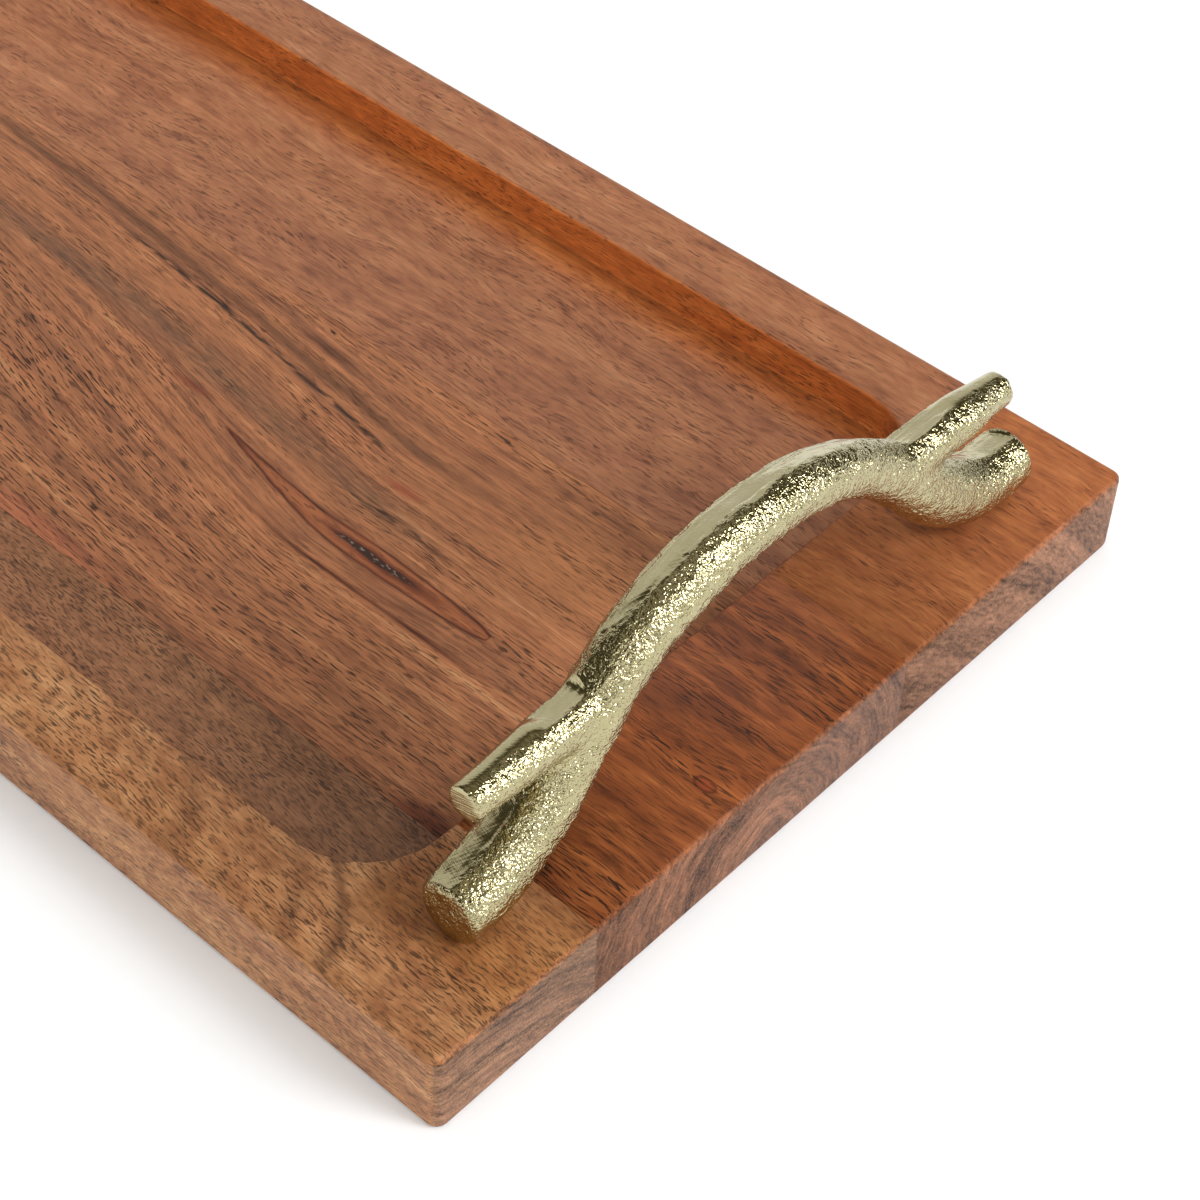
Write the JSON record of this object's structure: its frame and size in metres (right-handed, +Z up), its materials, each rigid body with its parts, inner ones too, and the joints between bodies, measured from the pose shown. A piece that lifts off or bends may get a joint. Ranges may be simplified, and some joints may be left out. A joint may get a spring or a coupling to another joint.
{
  "type": "serving tray",
  "caption": "Long wooden serving tray with a shallow routed well and a cast brass twig-shaped handle arching over each end.",
  "frame": {"origin": "centre of the board's flat underside", "axes": "+X along the board's length, +Y across its width to the back, +Z up out of the well"},
  "size_m": [0.508, 0.203, 0.0753],
  "materials": {
    "stave_front": "oiled, satin, with open pores",
    "stave_middle": "oiled, satin, with open pores",
    "stave_back": "oiled, satin, with open pores",
    "brass": "polished, pale, cast with a rough hammered top",
    "steel": "zinc plated"
  },
  "bodies": {
    "root": {"stave_front": "stave_front", "stave_middle": "stave_middle", "stave_back": "stave_back", "handle_left": "brass", "handle_right": "brass", "screw_left_front": "steel", "screw_left_back": "steel", "screw_right_front": "steel", "screw_right_back": "steel", "washer_left_front": "steel", "washer_left_back": "steel", "washer_right_front": "steel", "washer_right_back": "steel"}
  },
  "joints": []
}
